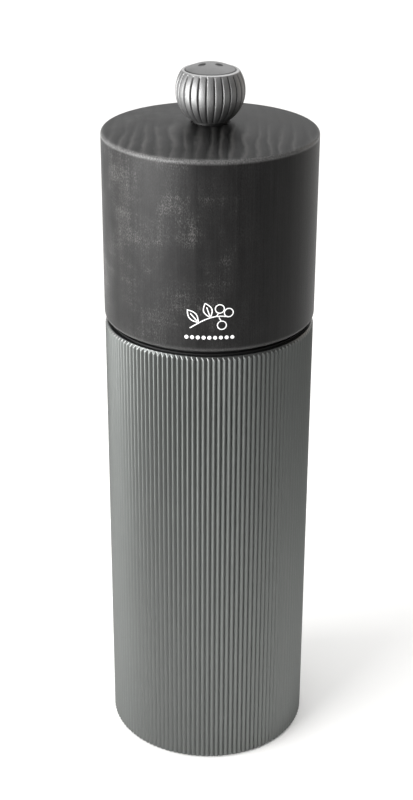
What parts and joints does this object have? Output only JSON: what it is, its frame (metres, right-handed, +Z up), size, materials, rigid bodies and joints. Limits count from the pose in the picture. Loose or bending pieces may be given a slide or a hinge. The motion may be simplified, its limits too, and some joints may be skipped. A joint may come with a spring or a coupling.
{
  "type": "pepper mill",
  "caption": "Upright pepper mill with a turning wooden head, a finely ribbed metal casing, a hopper barrel, a steel cone mechanism in the foot and a ball knob that sets the grind.",
  "frame": {"origin": "centre of the foot, on the table", "axes": "+Z up along the shaft, from the foot to the knob; -Y is the front"},
  "size_m": [0.052, 0.052, 0.18],
  "materials": {
    "gunmetal_aluminium": "gunmetal anodised, satin, fine vertical ribs",
    "satin_aluminium": "fine turned satin",
    "graphite_wood": "graphite stained, satin lacquer, grain showing",
    "natural_beech": "bare turned beech",
    "black_plastic": "moulded, matte black",
    "hardened_steel": "hardened, dark, cut teeth",
    "plain_steel": "zinc plated, satin",
    "spring_steel": "drawn wire, satin",
    "brass": "turned",
    "red_rubber": "moulded rubber"
  },
  "bodies": {
    "casing": {"ribbed_sleeve": "gunmetal_aluminium", "hopper_barrel": "natural_beech", "base_ring": "black_plastic", "neck_ring": "black_plastic", "glide_ring": "black_plastic", "mechanism_housing": "black_plastic", "grinding_ring": "hardened_steel", "shaft_bridge": "plain_steel", "retaining_bar": "plain_steel", "mechanism_screws": "plain_steel"},
    "spring_carrier": {"spring_seat": "plain_steel", "cone_spring": "spring_steel"},
    "spindle": {"drive_shaft": "plain_steel", "grinding_cone": "hardened_steel", "cone_clip": "spring_steel"},
    "head": {"wooden_head": "graphite_wood", "head_collar": "black_plastic", "drive_plate": "plain_steel", "collar_screws": "plain_steel", "friction_ring": "red_rubber", "top_bush": "black_plastic"},
    "knob_seat": {"knob_washer": "black_plastic"},
    "knob": {"knob_shell": "satin_aluminium", "knob_insert": "brass", "knob_cap": "satin_aluminium"}
  },
  "joints": [
    {"name": "mill_turn", "type": "hinge", "parent": "casing", "child": "spring_carrier", "pos_m": [0, 0, 0], "axis": [0, 0, 1], "continuous": true},
    {"name": "grind_gap", "type": "slide", "parent": "spring_carrier", "child": "spindle", "axis": [0, 0, -1], "range_m": [-0.0004, 0.0012], "deforming": ["cone_spring"]},
    {"name": "head_lift", "type": "slide", "parent": "spring_carrier", "child": "head", "axis": [0, 0, 1], "range_m": [0, 0.075]},
    {"name": "knob_lift", "type": "slide", "parent": "head", "child": "knob_seat", "axis": [0, 0, 1], "range_m": [0, 0.02]},
    {"name": "knob_turn", "type": "hinge", "parent": "knob_seat", "child": "knob", "pos_m": [0, 0, 0.17355], "axis": [0, 0, 1], "range_deg": [-181, 541]}
  ],
  "couplings": [
    {"joint": "knob_turn", "follows": "grind_gap", "rad_per_m": 7854}
  ]
}
